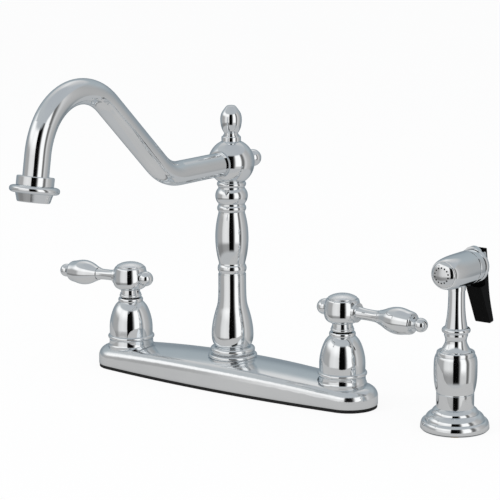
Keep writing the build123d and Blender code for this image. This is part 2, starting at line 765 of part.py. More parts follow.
for side, name in ((-1, "hot"), (1, "cold")):
    x = side * handle_x
    plane = upright(x, 0, side)
    axis = Axis((x, 0, 0), (0, 0, 1))
    inward = Plane(origin=(x, 0, tube_z), x_dir=(0, 1, 0), z_dir=(-side, 0, 0))

    with BuildPart() as valve_body:
        with BuildSketch(level(x, 0, -shank_len)):
            Circle(inlet_end_r)
        extrude(amount=inlet_end_len)
        with BuildSketch(level(x, 0, inlet_end_len - shank_len)):
            Circle(shank_r)
        extrude(amount=shank_len - inlet_end_len + underside_z)
        with BuildSketch(level(x, 0, underside_z - shoulder_h)):
            Circle(shoulder_r)
        extrude(amount=shoulder_h)
        with BuildSketch(level(x, 0, underside_z)):
            Circle(barrel_r)
        extrude(amount=barrel_top_z - underside_z)
        with BuildSketch(level(x, 0, valve_seat_z)):
            Circle(pocket_r)
        extrude(amount=barrel_top_z, mode=Mode.SUBTRACT)
        with BuildSketch(level(x, 0, -shank_len)):
            Circle(inlet_r)
        extrude(amount=shank_len + tube_z - tube_r - port_r, mode=Mode.SUBTRACT)
        with BuildSketch(level(x + side * port_offset, 0, 0)):
            Circle(port_r)
        extrude(amount=valve_seat_z, mode=Mode.SUBTRACT)
        with BuildSketch(level(x - side * port_offset, 0, tube_z)):
            Circle(port_r)
        extrude(amount=valve_seat_z, mode=Mode.SUBTRACT)
        with BuildSketch(inward.offset(port_offset)):
            Circle(tube_r - tube_wall)
        extrude(amount=shoulder_r, mode=Mode.SUBTRACT)
        with BuildSketch(inward.offset(shoulder_r - tube_depth)):
            Circle(tube_r + slip_fit)
        extrude(amount=tube_depth, mode=Mode.SUBTRACT)
    keep(valve_body, f"{name}_valve_body")

    with BuildPart() as cross_tube:
        with BuildSketch(inward.offset(shoulder_r - tube_depth)):
            Circle(tube_r)
            Circle(tube_r - tube_wall, mode=Mode.SUBTRACT)
        extrude(amount=handle_x - shoulder_r - hub_block_r + 2 * tube_depth)
    keep(cross_tube, f"{name}_cross_tube")

    for label, z0, disc_r, disc_t in (("seat_seal", valve_seat_z, fixed_disc_r, seal_t),
                                      ("fixed_disc", fixed_disc_z, fixed_disc_r, fixed_disc_t)):
        with BuildPart() as disc:
            with BuildSketch(level(x, 0, z0)):
                Circle(disc_r)
                with GridLocations(2 * port_offset, 0, 2, 1):
                    Circle(port_r, mode=Mode.SUBTRACT)
            extrude(amount=disc_t)
        keep(disc, f"{name}_{label}")

    with BuildPart() as moving_disc:
        with BuildSketch(level(x, 0, moving_disc_z)):
            Circle(moving_disc_r)
        extrude(amount=moving_disc_t)
        with BuildSketch(level(x, 0, moving_disc_z)):
            SlotOverall(2 * (port_offset + port_r), 2 * port_r, rotation=90)
        extrude(amount=moving_disc_t / 2, mode=Mode.SUBTRACT)
    keep(moving_disc, f"{name}_moving_disc")

    with BuildPart() as cartridge:
        with BuildSketch(plane):
            with BuildLine():
                bore_r = spindle_r + run_fit
                skirt_r = fixed_disc_r - free_gap
                skirt_z = fixed_disc_z + fixed_disc_t
                flange_top_z = barrel_top_z + cartridge_flange_t
                Polyline((skirt_r, skirt_z), (pocket_r - slip_fit, skirt_z),
                         (pocket_r - slip_fit, barrel_top_z), (cartridge_flange_r, barrel_top_z),
                         (cartridge_flange_r, flange_top_z), (cartridge_neck_r, flange_top_z),
                         (cartridge_neck_r, cartridge_top_z), (bore_r, cartridge_top_z),
                         (bore_r, chamber_top_z), (skirt_r, chamber_top_z), (skirt_r, skirt_z))
            make_face()
        revolve(axis=axis)
    keep(cartridge, f"{name}_cartridge")

    with BuildPart() as spindle:
        with BuildSketch(level(x, 0, flange_z)):
            Circle(spindle_flange_r)
        extrude(amount=spindle_flange_t)
        with BuildSketch(level(x, 0, flange_z)):
            Circle(spindle_r)
        extrude(amount=handle_z - flange_z)
        with BuildSketch(level(x, 0, handle_z)):
            Circle(spline_r)
        extrude(amount=spindle_top_z - handle_z)
    keep(spindle, f"{name}_spindle")

    with BuildPart() as bell:
        with BuildSketch(plane):
            with BuildLine():
                groove_z = pad_z + bell_foot_h
                ridge_z = groove_z + bell_groove
                ridge_top_z = ridge_z + bell_ridge_h
                collar_z = bell_top_z - bell_collar_h
                inner_r = bell_r - bell_wall
                Polyline((inner_r, pad_z), (bell_foot_r, pad_z), (bell_foot_r, pad_z + bell_foot_lip))
                Spline((bell_foot_r, pad_z + bell_foot_lip), (bell_r + 0.3, groove_z),
                       tangents=((-0.8, 1), (0, 1)))
                Polyline((bell_r + 0.3, groove_z), (bell_r - 0.2, groove_z), (bell_r - 0.2, ridge_z),
                         (bell_r, ridge_z))
                ThreePointArc((bell_r, ridge_z), (bell_ridge_r, ridge_z + bell_ridge_h / 2),
                              (bell_r, ridge_top_z))
                Spline((bell_r, ridge_top_z), (bell_r, pad_z + bell_h * 0.44),
                       (bell_r * 0.885, pad_z + bell_h * 0.69), (bell_collar_r, collar_z),
                       tangents=((0, 1), (-0.8, 0.6)))
                ThreePointArc((bell_collar_r, collar_z),
                              (bell_collar_r + bell_collar_bulge, collar_z + bell_collar_h / 2),
                              (bell_collar_r, bell_top_z))
                neck_in_r = bell_collar_r - bell_wall / 2
                neck_in_z = collar_z - bell_wall
                Polyline((bell_collar_r, bell_top_z), (bell_mouth_r, bell_top_z), (bell_mouth_r, neck_in_z),
                         (neck_in_r, neck_in_z))
                Spline((neck_in_r, neck_in_z), (bell_r * 0.885 - bell_wall, pad_z + bell_h * 0.66),
                       (inner_r, pad_z + bell_h * 0.42), tangents=((0.8, -0.6), (0, -1)))
                Line((inner_r, pad_z + bell_h * 0.42), (inner_r, pad_z))
            make_face()
        revolve(axis=axis)
    keep(bell, f"{name}_bell")

    along = Vector(side * cos(radians(lever_droop)), 0, -sin(radians(lever_droop)))
    lever_plane = Plane(origin=(x, 0, lever_z), x_dir=along, z_dir=(0, -side, 0))
    lever_axis = Axis((x, 0, lever_z), along)

    with BuildPart() as handle_hub:
        with BuildSketch(plane):
            with BuildLine():
                bore_r = spline_r + slip_fit
                step_z = handle_z + hub_ring_h
                plug_r = cap_plug_r + slip_fit
                plug_z = cap_z - cap_plug_h - 4 * slip_fit
                Line((bore_r, handle_z), (hub_step_r, handle_z))
                ThreePointArc((hub_step_r, handle_z), (hub_ring_r, handle_z + hub_ring_h / 2),
                              (hub_step_r, step_z))
                Polyline((hub_step_r, step_z), (hub_step_r, step_z + hub_step_h),
                         (hub_neck_r, step_z + hub_step_h), (hub_neck_r, hub_neck_z))
                Spline((hub_neck_r, hub_neck_z), (hub_r * 0.9, hub_neck_z + hub_low_h * 0.3),
                       (hub_r, hub_mid_z), tangents=((1, 0.2), (0, 1)))
                Spline((hub_r, hub_mid_z), (hub_r * 0.93, cap_z - hub_high_h * 0.2), (hub_rim_r, cap_z),
                       tangents=((0, 1), (-1, 0.5)))
                bore_z = spindle_top_z + slip_fit
                Polyline((hub_rim_r, cap_z), (plug_r, cap_z), (plug_r, plug_z), (0, plug_z), (0, bore_z),
                         (bore_r, bore_z), (bore_r, handle_z))
            make_face()
        revolve(axis=axis)
        with BuildSketch(lever_plane):
            with BuildLine():
                collar_edge = lever_collar_reach - lever_step
                collar_face_r = lever_collar_r - lever_step
                Polyline((hub_r / 2, 0), (hub_r / 2, lever_collar_r), (collar_edge, lever_collar_r),
                         (collar_edge, collar_face_r), (lever_collar_reach, collar_face_r),
                         (lever_collar_reach, 0), (hub_r / 2, 0))
            make_face()
        revolve(axis=lever_axis)
        with BuildSketch(Plane(origin=lever_plane.origin + along * lever_collar_reach, z_dir=-along)):
            Circle(lever_stud_r + slip_fit)
        extrude(amount=lever_collar_reach - hub_r / 2 + slip_fit, mode=Mode.SUBTRACT)
        with Locations(lever_plane.origin - along * back_ball_reach):
            Sphere(back_ball_r + slip_fit, mode=Mode.SUBTRACT)
        with BuildSketch(Plane(origin=lever_plane.origin - along * back_ball_reach, z_dir=along)):
            Circle(back_stud_r + slip_fit)
        extrude(amount=back_stud_len + slip_fit, mode=Mode.SUBTRACT)
        with BuildSketch(Plane(origin=(x, 0, screw_z), z_dir=(-side, 0, 0))):
            Circle(screw_r + slip_fit)
        extrude(amount=hub_r, mode=Mode.SUBTRACT)
    keep(handle_hub, f"{name}_handle_hub")

    with BuildPart() as index_cap:
        with BuildSketch(plane):
            with BuildLine():
                Polyline((0, cap_z + cap_rise), (0, cap_z - cap_plug_h), (cap_plug_r, cap_z - cap_plug_h),
                         (cap_plug_r, cap_z), (cap_r, cap_z), (cap_r, cap_z + cap_edge))
                dome_z = cap_z + cap_edge
                Spline((cap_r, dome_z), (cap_r * 0.6, dome_z + (cap_rise - cap_edge) * 0.72),
                       (0, cap_z + cap_rise), tangents=((-0.8, 0.6), (-1, 0)))
            make_face()
        revolve(axis=axis)
    keep(index_cap, f"{name}_index_cap")

    with BuildPart() as set_screw:
        with BuildSketch(Plane(origin=(x - side * spline_r, 0, screw_z), z_dir=(-side, 0, 0))):
            Circle(screw_r)
        extrude(amount=hub_neck_r - spline_r - 0.4)
        with BuildSketch(Plane(origin=(x - side * (hub_neck_r - 0.4), 0, screw_z), z_dir=(side, 0, 0))):
            RegularPolygon(screw_r * 0.5, 6)
        extrude(amount=screw_r, mode=Mode.SUBTRACT)
    keep(set_screw, f"{name}_set_screw")

    with BuildPart() as lever:
        with BuildSketch(lever_plane):
            with BuildLine():
                stud_end = grip_end + tip_r / 2
                Polyline((hub_r / 2, 0), (hub_r / 2, lever_stud_r), (lever_collar_reach, lever_stud_r),
                         (lever_collar_reach, lever_root_r))
                Spline((lever_collar_reach, lever_root_r), (lever_len * 0.76, lever_waist_r),
                       (lever_len - lever_step, lever_root_r), tangents=((1, -0.2), (1, 0.3)))
                Polyline((lever_len - lever_step, lever_root_r), (lever_len - lever_step, lever_waist_r),
                         (lever_len, lever_waist_r), (lever_len, grip_stud_r), (stud_end, grip_stud_r),
                         (stud_end, 0), (hub_r / 2, 0))
            make_face()
        revolve(axis=lever_axis)
    keep(lever, f"{name}_lever")

    with BuildPart() as grip:
        with BuildSketch(lever_plane):
            with BuildLine():
                end_step = grip_end - lever_step
                end_r = tip_ring_r + lever_step
                Polyline((lever_len, grip_stud_r + slip_fit), (lever_len, lever_root_r + 0.4))
                Spline((lever_len, lever_root_r + 0.4), (lever_len + grip_len * 0.28, grip_r * 0.86),
                       (lever_len + grip_len * 0.6, grip_r), (lever_len + grip_len * 0.86, grip_r * 0.87),
                       (end_step, end_r + lever_step), tangents=((1, 0.25), (0.5, -1)))
                Polyline((end_step, end_r + lever_step), (end_step, end_r), (grip_end, end_r),
                         (grip_end, grip_stud_r + slip_fit), (lever_len, grip_stud_r + slip_fit))
            make_face()
        revolve(axis=lever_axis)
    keep(grip, f"{name}_grip")

    with BuildPart() as tip_ball:
        with BuildSketch(lever_plane):
            with BuildLine():
                ball_start = tip_reach - tip_r * 0.75
                ring_mid = (grip_end + ball_start) / 2
                ball_neck_r = (tip_r**2 - (tip_reach - ball_start) ** 2) ** 0.5
                Polyline((grip_end, grip_stud_r + slip_fit), (grip_end, tip_ring_r), (ring_mid, tip_ring_r),
                         (ball_start, ball_neck_r))
                ThreePointArc((ball_start, ball_neck_r), (tip_reach, tip_r), (tip_reach + tip_r, 0))
                Polyline((tip_reach + tip_r, 0), (stud_end + slip_fit, 0),
                         (stud_end + slip_fit, grip_stud_r + slip_fit), (grip_end, grip_stud_r + slip_fit))
            make_face()
        revolve(axis=lever_axis)
    keep(tip_ball, f"{name}_tip_ball")

    with BuildPart() as back_ball:
        with Locations(lever_plane.origin - along * back_ball_reach):
            Sphere(back_ball_r)
        with BuildSketch(Plane(origin=lever_plane.origin - along * back_ball_reach, z_dir=along)):
            Circle(back_stud_r)
        extrude(amount=back_stud_len)
    keep(back_ball, f"{name}_back_ball")

sprayer_plane = upright(sprayer_x, sprayer_y)
sprayer_axis = Axis((sprayer_x, sprayer_y, 0), (0, 0, 1))
sprayer_centre = ((sprayer_x, sprayer_y),)

with BuildPart() as sprayer_holder:
    with BuildSketch(sprayer_plane):
        with BuildLine():
            low_tier_z = flange_edge_h + low_tier_h
            mid_tier_z = low_tier_z + mid_tier_h
            top_tier_z = mid_tier_z + top_tier_h
            Polyline((holder_bore_r, -holder_shank_len), (holder_shank_r, -holder_shank_len),
                     (holder_shank_r, 0), (holder_flange_r - flange_edge_h, 0),
                     (holder_flange_r, flange_edge_h))
            Spline((holder_flange_r, flange_edge_h), (low_tier_r + tier_step, low_tier_z),
                   tangents=((0, 1), (-1, 0.6)))
            Line((low_tier_r + tier_step, low_tier_z), (low_tier_r - tier_step, low_tier_z))
            Spline((low_tier_r - tier_step, low_tier_z), (mid_tier_r + tier_step, mid_tier_z),
                   tangents=((-0.2, 1), (-1, 0.6)))
            Line((mid_tier_r + tier_step, mid_tier_z), (mid_tier_r - tier_step, mid_tier_z))
            Spline((mid_tier_r - tier_step, mid_tier_z), (holder_r, top_tier_z),
                   tangents=((-0.2, 1), (-1, 0.6)))
            Polyline((holder_r, top_tier_z), (holder_r, holder_top_z - 0.4), (holder_r - 0.4, holder_top_z),
                     (holder_bore_r, holder_top_z), (holder_bore_r, -holder_shank_len))
        make_face()
    revolve(axis=sprayer_axis)
keep(sprayer_holder, "sprayer_holder")

hex_nut("holder_nut", sprayer_centre, -deck_t - nut_h, -deck_t, holder_nut_flats, holder_shank_r + slip_fit)

tail_z = body_z - tail_len
with BuildPart() as hose_coupling:
    with BuildSketch(level(sprayer_x, sprayer_y, tail_z)):
        Circle(coupling_r)
    extrude(amount=coupling_h)
    with BuildSketch(level(sprayer_x, sprayer_y, tail_z)):
        Circle(coupling_stub_r)
    extrude(amount=-coupling_stub_len)
    with BuildSketch(level(sprayer_x, sprayer_y, tail_z - coupling_stub_len)):
        Circle(coupling_bore_r)
    extrude(amount=coupling_stub_len + coupling_h, mode=Mode.SUBTRACT)
keep(hose_coupling, "hose_coupling")

with BuildPart() as sprayer_body:
    with BuildSketch(sprayer_plane):
        with BuildLine():
            coupling_bed_r = coupling_r + run_fit
            coupling_top = tail_z + coupling_h + free_gap
            lip_r = urn_lip_r - urn_lip_step
            Polyline((coupling_bed_r, tail_z), (tail_r, tail_z), (tail_r, body_z), (urn_foot_r - 0.5, body_z),
                     (urn_foot_r, body_z + 0.5))
            Spline((urn_foot_r, body_z + 0.5), (urn_r, body_z + urn_low_h), (urn_lip_r, lip_z),
                   tangents=((0.3, 1), (-0.5, 1)))
            Polyline((urn_lip_r, lip_z), (lip_r, lip_z), (lip_r, lip_z + urn_lip_step))
            Spline((lip_r, lip_z + urn_lip_step), (urn_shoulder_r, urn_top_z), tangents=((0, 1), (-1, 0.2)))
            Line((urn_shoulder_r, urn_top_z), (flare_r, urn_top_z))
            Spline((flare_r, urn_top_z), (cove_r + 1.4, urn_top_z + flare_h), (cove_r, cove_z),
                   (ring_bed_r, ring_bed_z), tangents=((-1, 0.4), (0.4, 1)))
            Line((ring_bed_r, ring_bed_z), (ring_bed_r, ring_z))
            ThreePointArc((ring_bed_r, ring_z), (ring_r, ring_z + ring_h / 2), (ring_bed_r, neck_foot_z))
            Line((ring_bed_r, neck_foot_z), (neck_foot_r, neck_foot_z))
            Spline((neck_foot_r, neck_foot_z), (neck_taper_r, neck_foot_z + neck_taper_h), (neck_r, neck_top),
                   tangents=((-0.25, 1), (0, 1)))
            Polyline((neck_r, neck_top), (neck_tenon_r, neck_top), (neck_tenon_r, neck_top + neck_tenon_h),
                     (water_way_r, neck_top + neck_tenon_h), (water_way_r, coupling_top),
                     (coupling_bed_r, coupling_top), (coupling_bed_r, tail_z))
        make_face()
    revolve(axis=sprayer_axis)
keep(sprayer_body, "sprayer_body")

# Head of the sprayer: local x is the radius, local y points forward along the spray.
head_plane = Plane(origin=(sprayer_x, sprayer_y, head_z), x_dir=(0, 0, 1), z_dir=(1, 0, 0))
head_axis = Axis((sprayer_x, sprayer_y, head_z), (0, -1, 0))
side_plane = Plane(origin=(sprayer_x, sprayer_y, head_z), x_dir=(0, 1, 0), z_dir=(1, 0, 0))
chamber_start = head_front_reach - face_recess - chamber_depth

with BuildPart() as sprayer_head:
    with BuildSketch(head_plane):
        with BuildLine():
            Polyline((0, -head_rear_reach), (head_rear_r - 0.4, -head_rear_reach),
                     (head_rear_r, 0.4 - head_rear_reach))
            Spline((head_rear_r, 0.4 - head_rear_reach), (head_mid_r, 0),
                   (head_nose_r, head_front_reach - head_nose_len), (head_front_r, head_front_reach),
                   tangents=((0, 1), (-0.6, 1)))
            Polyline((head_front_r, head_front_reach), (0, head_front_reach), (0, -head_rear_reach))
        make_face()
    revolve(axis=head_axis)
    with BuildSketch(level(sprayer_x, sprayer_y, neck_top)):
        Circle(saddle_r)
    extrude(amount=head_rise)
    with BuildSketch(Plane(origin=(sprayer_x, sprayer_y - head_front_reach, head_z), z_dir=(0, 1, 0))):
        Circle(face_r + slip_fit)
    extrude(amount=face_recess, mode=Mode.SUBTRACT)
    with BuildSketch(Plane(origin=(sprayer_x, sprayer_y - head_front_reach, head_z), z_dir=(0, 1, 0))):
        Circle(chamber_r)
    extrude(amount=face_recess + chamber_depth, mode=Mode.SUBTRACT)
    with BuildSketch(Plane(origin=(sprayer_x, sprayer_y + head_rear_reach, head_z), z_dir=(0, -1, 0))):
        Circle(plunger_r + run_fit)
    extrude(amount=head_rear_reach + chamber_start, mode=Mode.SUBTRACT)
    with BuildSketch(level(sprayer_x, sprayer_y, neck_top)):
        Circle(neck_tenon_r + slip_fit)
    extrude(amount=neck_tenon_h + slip_fit, mode=Mode.SUBTRACT)
    with BuildSketch(level(sprayer_x, sprayer_y, neck_top)):
        Circle(water_way_r)
    extrude(amount=head_rise, mode=Mode.SUBTRACT)
keep(sprayer_head, "sprayer_head")

with BuildPart() as spray_face:
    with BuildSketch(head_plane):
        with BuildLine():
            face_back = head_front_reach - face_recess
            face_edge = face_back + face_t
            Spline((face_r, face_edge), (0, face_edge + face_dome), tangents=((-0.5, 0.6), (-1, 0)))
            Polyline((0, face_edge + face_dome), (0, face_back + face_dome), (chamber_r, face_back),
                     (face_r, face_back), (face_r, face_edge))
        make_face()
    revolve(axis=head_axis)
    with BuildSketch(Plane(origin=(sprayer_x, sprayer_y, head_z), z_dir=(0, -1, 0))):
        with PolarLocations(face_hole_ring_r, face_hole_count):
            Circle(face_hole_r)
    extrude(amount=head_front_reach + face_dome + face_t, mode=Mode.SUBTRACT)
keep(spray_face, "spray_face")

cap_back = head_rear_reach + cap_ring_len
with BuildPart() as rear_cap:
    with BuildSketch(head_plane):
        with BuildLine():
            band_start = -head_rear_reach - cap_groove_len
            band_end = band_start - cap_band_len
            ring_start = band_end - cap_groove_len
            ring_edge_r = cap_ring_r - 0.6
            bore_r = plunger_r + free_gap
            Polyline((bore_r, -head_rear_reach), (cap_groove_r, -head_rear_reach), (cap_groove_r, band_start),
                     (cap_band_r - 0.3, band_start), (cap_band_r, band_start - 0.3), (cap_band_r, band_end),
                     (cap_step_r, band_end), (cap_step_r, ring_start), (ring_edge_r, ring_start))
            ThreePointArc((ring_edge_r, ring_start), (cap_ring_r, (ring_start - cap_back) / 2),
                          (ring_edge_r, -cap_back))
            Polyline((ring_edge_r, -cap_back), (bore_r, -cap_back), (bore_r, -head_rear_reach))
        make_face()
    revolve(axis=head_axis)
    hood_origin = (sprayer_x, sprayer_y + cap_back, head_z)
    with BuildSketch(Plane(origin=hood_origin, x_dir=(1, 0, 0), z_dir=(0, -1, 0))):
        with BuildLine():
            hood_low = hood_rise - hood_depth
            hood_eave = hood_rise - hood_side
            Polyline((-hood_width / 2, hood_eave), (-hood_width / 2, hood_low), (hood_width / 2, hood_low),
                     (hood_width / 2, hood_eave))
            ThreePointArc((hood_width / 2, hood_eave), (0, hood_rise), (-hood_width / 2, hood_eave))
        make_face()
    extrude(amount=hood_len)
    for x0 in (-lug_inner - lug_t, lug_inner):
        with BuildSketch(side_plane.offset(x0)):
            with Locations((pin_back, pin_rise)):
                Circle(lug_r)
            with Locations(((cap_back - hood_len / 2 + pin_back) / 2, pin_rise)):
                Rectangle(pin_back - cap_back + hood_len / 2, 2 * lug_r)
            with Locations((pin_back, pin_rise)):
                Circle(pin_r, mode=Mode.SUBTRACT)
        extrude(amount=lug_t)
keep(rear_cap, "rear_cap")

with BuildPart() as trigger_pin:
    with BuildSketch(side_plane):
        with Locations((pin_back, pin_rise)):
            Circle(pin_r)
    extrude(amount=lug_inner + lug_t, both=True)
keep(trigger_pin, "trigger_pin")

front_top = pin_rise - lug_r - 2.6
front_low = 1.0 - trigger_hook_drop
with BuildPart() as trigger:
    with BuildSketch(side_plane):
        with BuildLine():
            clear = pin_back + lug_r + free_gap
            top_rise = pin_rise + trigger_top_rise
            foot_front = trigger_foot_back - trigger_foot_t / 2
            foot_rear = trigger_foot_back + trigger_foot_t / 2
            foot_low = trigger_foot_rise - trigger_foot_drop
            Polyline((clear, top_rise), (clear, pin_rise - lug_r - 1.6), (trigger_front_back, front_top),
                     (trigger_front_back + 1.0, front_low), (trigger_hook_back, -trigger_hook_drop),
                     (foot_front, -trigger_foot_drop), (foot_rear, foot_low))
            Spline((foot_rear, foot_low), (trigger_belly_back, -trigger_belly_drop),
                   (trigger_rear_back, pin_rise - trigger_rear_dip), (clear + trigger_top_t, top_rise),
                   tangents=((-0.3, 1), (-0.2, 1)))
            Line((clear + trigger_top_t, top_rise), (clear, top_rise))
        make_face()
    extrude(amount=trigger_width / 2, both=True)
    rear_edges = trigger.edges().filter_by(lambda e: e.center().Y > sprayer_y + trigger_rear_back - 0.5)
    fillet(rear_edges, trigger_edge_r)
    with BuildSketch(side_plane):
        with Locations((pin_back, pin_rise)):
            Circle(lug_r - free_gap / 2)
        with Locations(((pin_back + clear + 0.7) / 2, pin_rise)):
            Rectangle(clear + 0.7 - pin_back, 2 * lug_r - free_gap)
    extrude(amount=trigger_tongue / 2, both=True)
    with BuildSketch(side_plane):
        with Locations((pin_back, pin_rise)):
            Circle(pin_r + slip_fit)
    extrude(amount=trigger_width, both=True, mode=Mode.SUBTRACT)
keep(trigger, "trigger")

plunger_back = trigger_front_back + front_top / (front_top - front_low) - face_gap
with BuildPart() as valve_plunger:
    with BuildSketch(head_plane):
        with BuildLine():
            disc_start = chamber_start + face_gap
            RadiusArc((0, -plunger_back), (plunger_r, -plunger_back + plunger_r), -plunger_r)
            waist_start = -water_way_r - 2.0
            disc_end = disc_start + plunger_disc_t
            Polyline((plunger_r, -plunger_back + plunger_r), (plunger_r, waist_start),
                     (plunger_waist_r, waist_start), (plunger_waist_r, disc_start),
                     (plunger_disc_r, disc_start), (plunger_disc_r, disc_end), (0, disc_end),
                     (0, -plunger_back))
        make_face()
    revolve(axis=head_axis)
keep(valve_plunger, "valve_plunger")
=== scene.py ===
import json
from math import cos, radians, sin

import bpy
from mathutils import Matrix, Vector

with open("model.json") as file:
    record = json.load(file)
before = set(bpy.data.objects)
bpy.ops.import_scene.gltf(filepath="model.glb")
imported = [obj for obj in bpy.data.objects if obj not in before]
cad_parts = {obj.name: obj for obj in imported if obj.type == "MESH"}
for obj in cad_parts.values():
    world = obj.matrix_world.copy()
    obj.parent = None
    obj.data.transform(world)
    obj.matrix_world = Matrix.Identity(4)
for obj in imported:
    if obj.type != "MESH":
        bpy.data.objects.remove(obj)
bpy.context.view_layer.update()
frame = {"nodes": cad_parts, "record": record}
nodes = frame["nodes"]
scene = bpy.context.scene

# Camera of the photograph: angles, then lengths in metres, then the lens.
view_turn = radians(36.463)  # to the right of the front
view_lift = radians(11.174)
view_roll = radians(-0.315)
view_distance = 1.513
view_target = Vector((0.0171, 0.0, 0.1078))
clip_near, clip_far = 0.05, 50.0
picture_pixels = 500.0
focal_pixels = 1994.5
sensor_mm = 36.0


def add_camera():
    level_back = Vector((sin(view_turn), -cos(view_turn), 0.0))
    level_right = Vector((cos(view_turn), sin(view_turn), 0.0))
    back = cos(view_lift) * level_back + sin(view_lift) * Vector((0.0, 0.0, 1.0))
    level_up = back.cross(level_right)
    right = cos(view_roll) * level_right + sin(view_roll) * level_up
    up = -sin(view_roll) * level_right + cos(view_roll) * level_up
    data = bpy.data.cameras.new("camera")
    data.sensor_width = sensor_mm
    data.lens = sensor_mm * focal_pixels / picture_pixels
    data.clip_start = clip_near
    data.clip_end = clip_far
    camera = bpy.data.objects.new("camera", data)
    scene.collection.objects.link(camera)
    rotation = Matrix((right, up, back)).transposed().to_4x4()
    camera.matrix_world = Matrix.Translation(view_target + view_distance * back) @ rotation
    scene.camera = camera


class Tree:
    """Short names for building a node tree."""

    def __init__(self, tree):
        self.tree = tree
        tree.nodes.clear()

    def node(self, kind, **settings):
        made = self.tree.nodes.new(kind)
        for key, value in settings.items():
            setattr(made, key, value)
        return made

    def link(self, source, target):
        self.tree.links.new(source, target)

    def value(self, target, content):
        if hasattr(content, "is_linked"):
            self.link(content, target)
        else:
            target.default_value = content

    def math(self, operation, first, second=0.0):
        made = self.node("ShaderNodeMath", operation=operation)
        self.value(made.inputs[0], first)
        self.value(made.inputs[1], second)
        return made.outputs[0]

    def band(self, source, low, high, to_low=0.0, to_high=1.0, smooth=True):
        made = self.node("ShaderNodeMapRange", clamp=True)
        made.interpolation_type = "SMOOTHSTEP" if smooth else "LINEAR"
        self.value(made.inputs["Value"], source)
        made.inputs["From Min"].default_value = low
        made.inputs["From Max"].default_value = high
        made.inputs["To Min"].default_value = to_low
        made.inputs["To Max"].default_value = to_high
        return made.outputs["Result"]

    def ramp(self, source, stops):
        made = self.node("ShaderNodeValToRGB")
        elements = made.color_ramp.elements
        while len(elements) > 1:
            elements.remove(elements[-1])
        for index, (place, colour) in enumerate(stops):
            element = elements[0] if index == 0 else elements.new(place)
            element.position = place
            shade = colour if isinstance(colour, tuple) else (colour, colour, colour)
            element.color = (*shade, 1.0)
        self.link(source, made.inputs["Fac"])
        return made.outputs["Color"]

    def mix(self, factor, first, second, blend="MIX"):
        made = self.node("ShaderNodeMix", data_type="RGBA", blend_type=blend)
        self.value(made.inputs["Factor"], factor)
        self.value(made.inputs["A"], first)
        self.value(made.inputs["B"], second)
        return made.outputs["Result"]

    def mix_shaders(self, factor, first, second):
        made = self.node("ShaderNodeMixShader")
        self.link(factor, made.inputs[0])
        self.link(first.outputs[0], made.inputs[1])
        self.link(second.outputs[0], made.inputs[2])
        return made


def material(name):
    made = bpy.data.materials.new(name)
    made.use_nodes = True
    tree = Tree(made.node_tree)
    out = tree.node("ShaderNodeOutputMaterial")
    shader = tree.node("ShaderNodeBsdfPrincipled")
    tree.link(shader.outputs["BSDF"], out.inputs["Surface"])
    return made, tree, shader, object_place(tree)


def object_place(tree):
    return tree.node("ShaderNodeTexCoord").outputs["Object"]


def noise(tree, place, scale, detail, stretch=None):
    if stretch:
        mapping = tree.node("ShaderNodeMapping")
        mapping.inputs["Scale"].default_value = stretch
        tree.link(place, mapping.inputs["Vector"])
        place = mapping.outputs["Vector"]
    made = tree.node("ShaderNodeTexNoise")
    made.inputs["Scale"].default_value = scale
    made.inputs["Detail"].default_value = detail
    tree.link(place, made.inputs["Vector"])
    return made.outputs["Fac"]


def bump(tree, shader, height, strength, distance):
    made = tree.node("ShaderNodeBump")
    made.inputs["Strength"].default_value = strength
    made.inputs["Distance"].default_value = distance
    tree.link(height, made.inputs["Height"])
    tree.link(made.outputs["Normal"], shader.inputs["Normal"])


def contact(tree, reach, darkest):
    # Shade in the angle between two pieces that touch or nearly do.
    closed, free = 0.25, 0.9
    near = tree.node("ShaderNodeAmbientOcclusion", samples=8)
    near.inputs["Distance"].default_value = reach
    return tree.ramp(near.outputs["AO"], ((closed, darkest), (free, 1.0)))


def chrome(name, low, high, rough, spread):
    # Plated metal: a faint bloom in the polish, fine wiping marks and a trace of orange peel.
    bloom_scale, wipe_scale, peel_scale = 38.0, 420.0, 900.0
    wipe_stretch = (1.0, 1.0, 0.12)
    edge_tint = (0.75, 0.79, 0.82, 1.0)
    peel_strength, peel_depth = 0.02, 0.0002
    made, tree, shader, place = material(name)
    bloom = noise(tree, place, bloom_scale, 4.0)
    tree.link(tree.ramp(bloom, ((0.3, low), (0.7, high))), shader.inputs["Base Color"])
    shader.inputs["Metallic"].default_value = 1.0
    shader.inputs["Specular Tint"].default_value = edge_tint
    wipe = noise(tree, place, wipe_scale, 2.0, wipe_stretch)
    smear = tree.math("MULTIPLY", wipe, bloom)
    tree.link(tree.band(smear, 0.12, 0.42, rough, rough + spread), shader.inputs["Roughness"])
    bump(tree, shader, noise(tree, place, peel_scale, 2.0), peel_strength, peel_depth)
    return made


def moulding(name, low, high, rough, spread, grain, depth, metallic=0.0, gloss=0.5, painted_shade_reach=0.0):
    # Moulded or machined surface: slight tone changes, uneven gloss and a fine grain.
    # The optional reach, in metres, paints shade: the colour darkens this close to another
    # piece.
    tone_scale, patch_scale = 60.0, 180.0
    grain_depth = 0.0003
    painted_shade_darkest = 0.05
    made, tree, shader, place = material(name)
    tone = noise(tree, place, tone_scale, 4.0)
    colour = tree.ramp(tone, ((0.25, low), (0.75, high)))
    if painted_shade_reach:
        # Painted shade: the colour darkens where another piece is near.
        colour = tree.mix(1.0, colour, contact(tree, painted_shade_reach, painted_shade_darkest), "MULTIPLY")
    tree.link(colour, shader.inputs["Base Color"])
    shader.inputs["Metallic"].default_value = metallic
    shader.inputs["Specular IOR Level"].default_value = gloss
    patches = noise(tree, place, patch_scale, 3.0)
    tree.link(tree.band(patches, 0.3, 0.7, rough, rough + spread), shader.inputs["Roughness"])
    bump(tree, shader, noise(tree, place, grain, 3.0), depth, grain_depth)
    return made


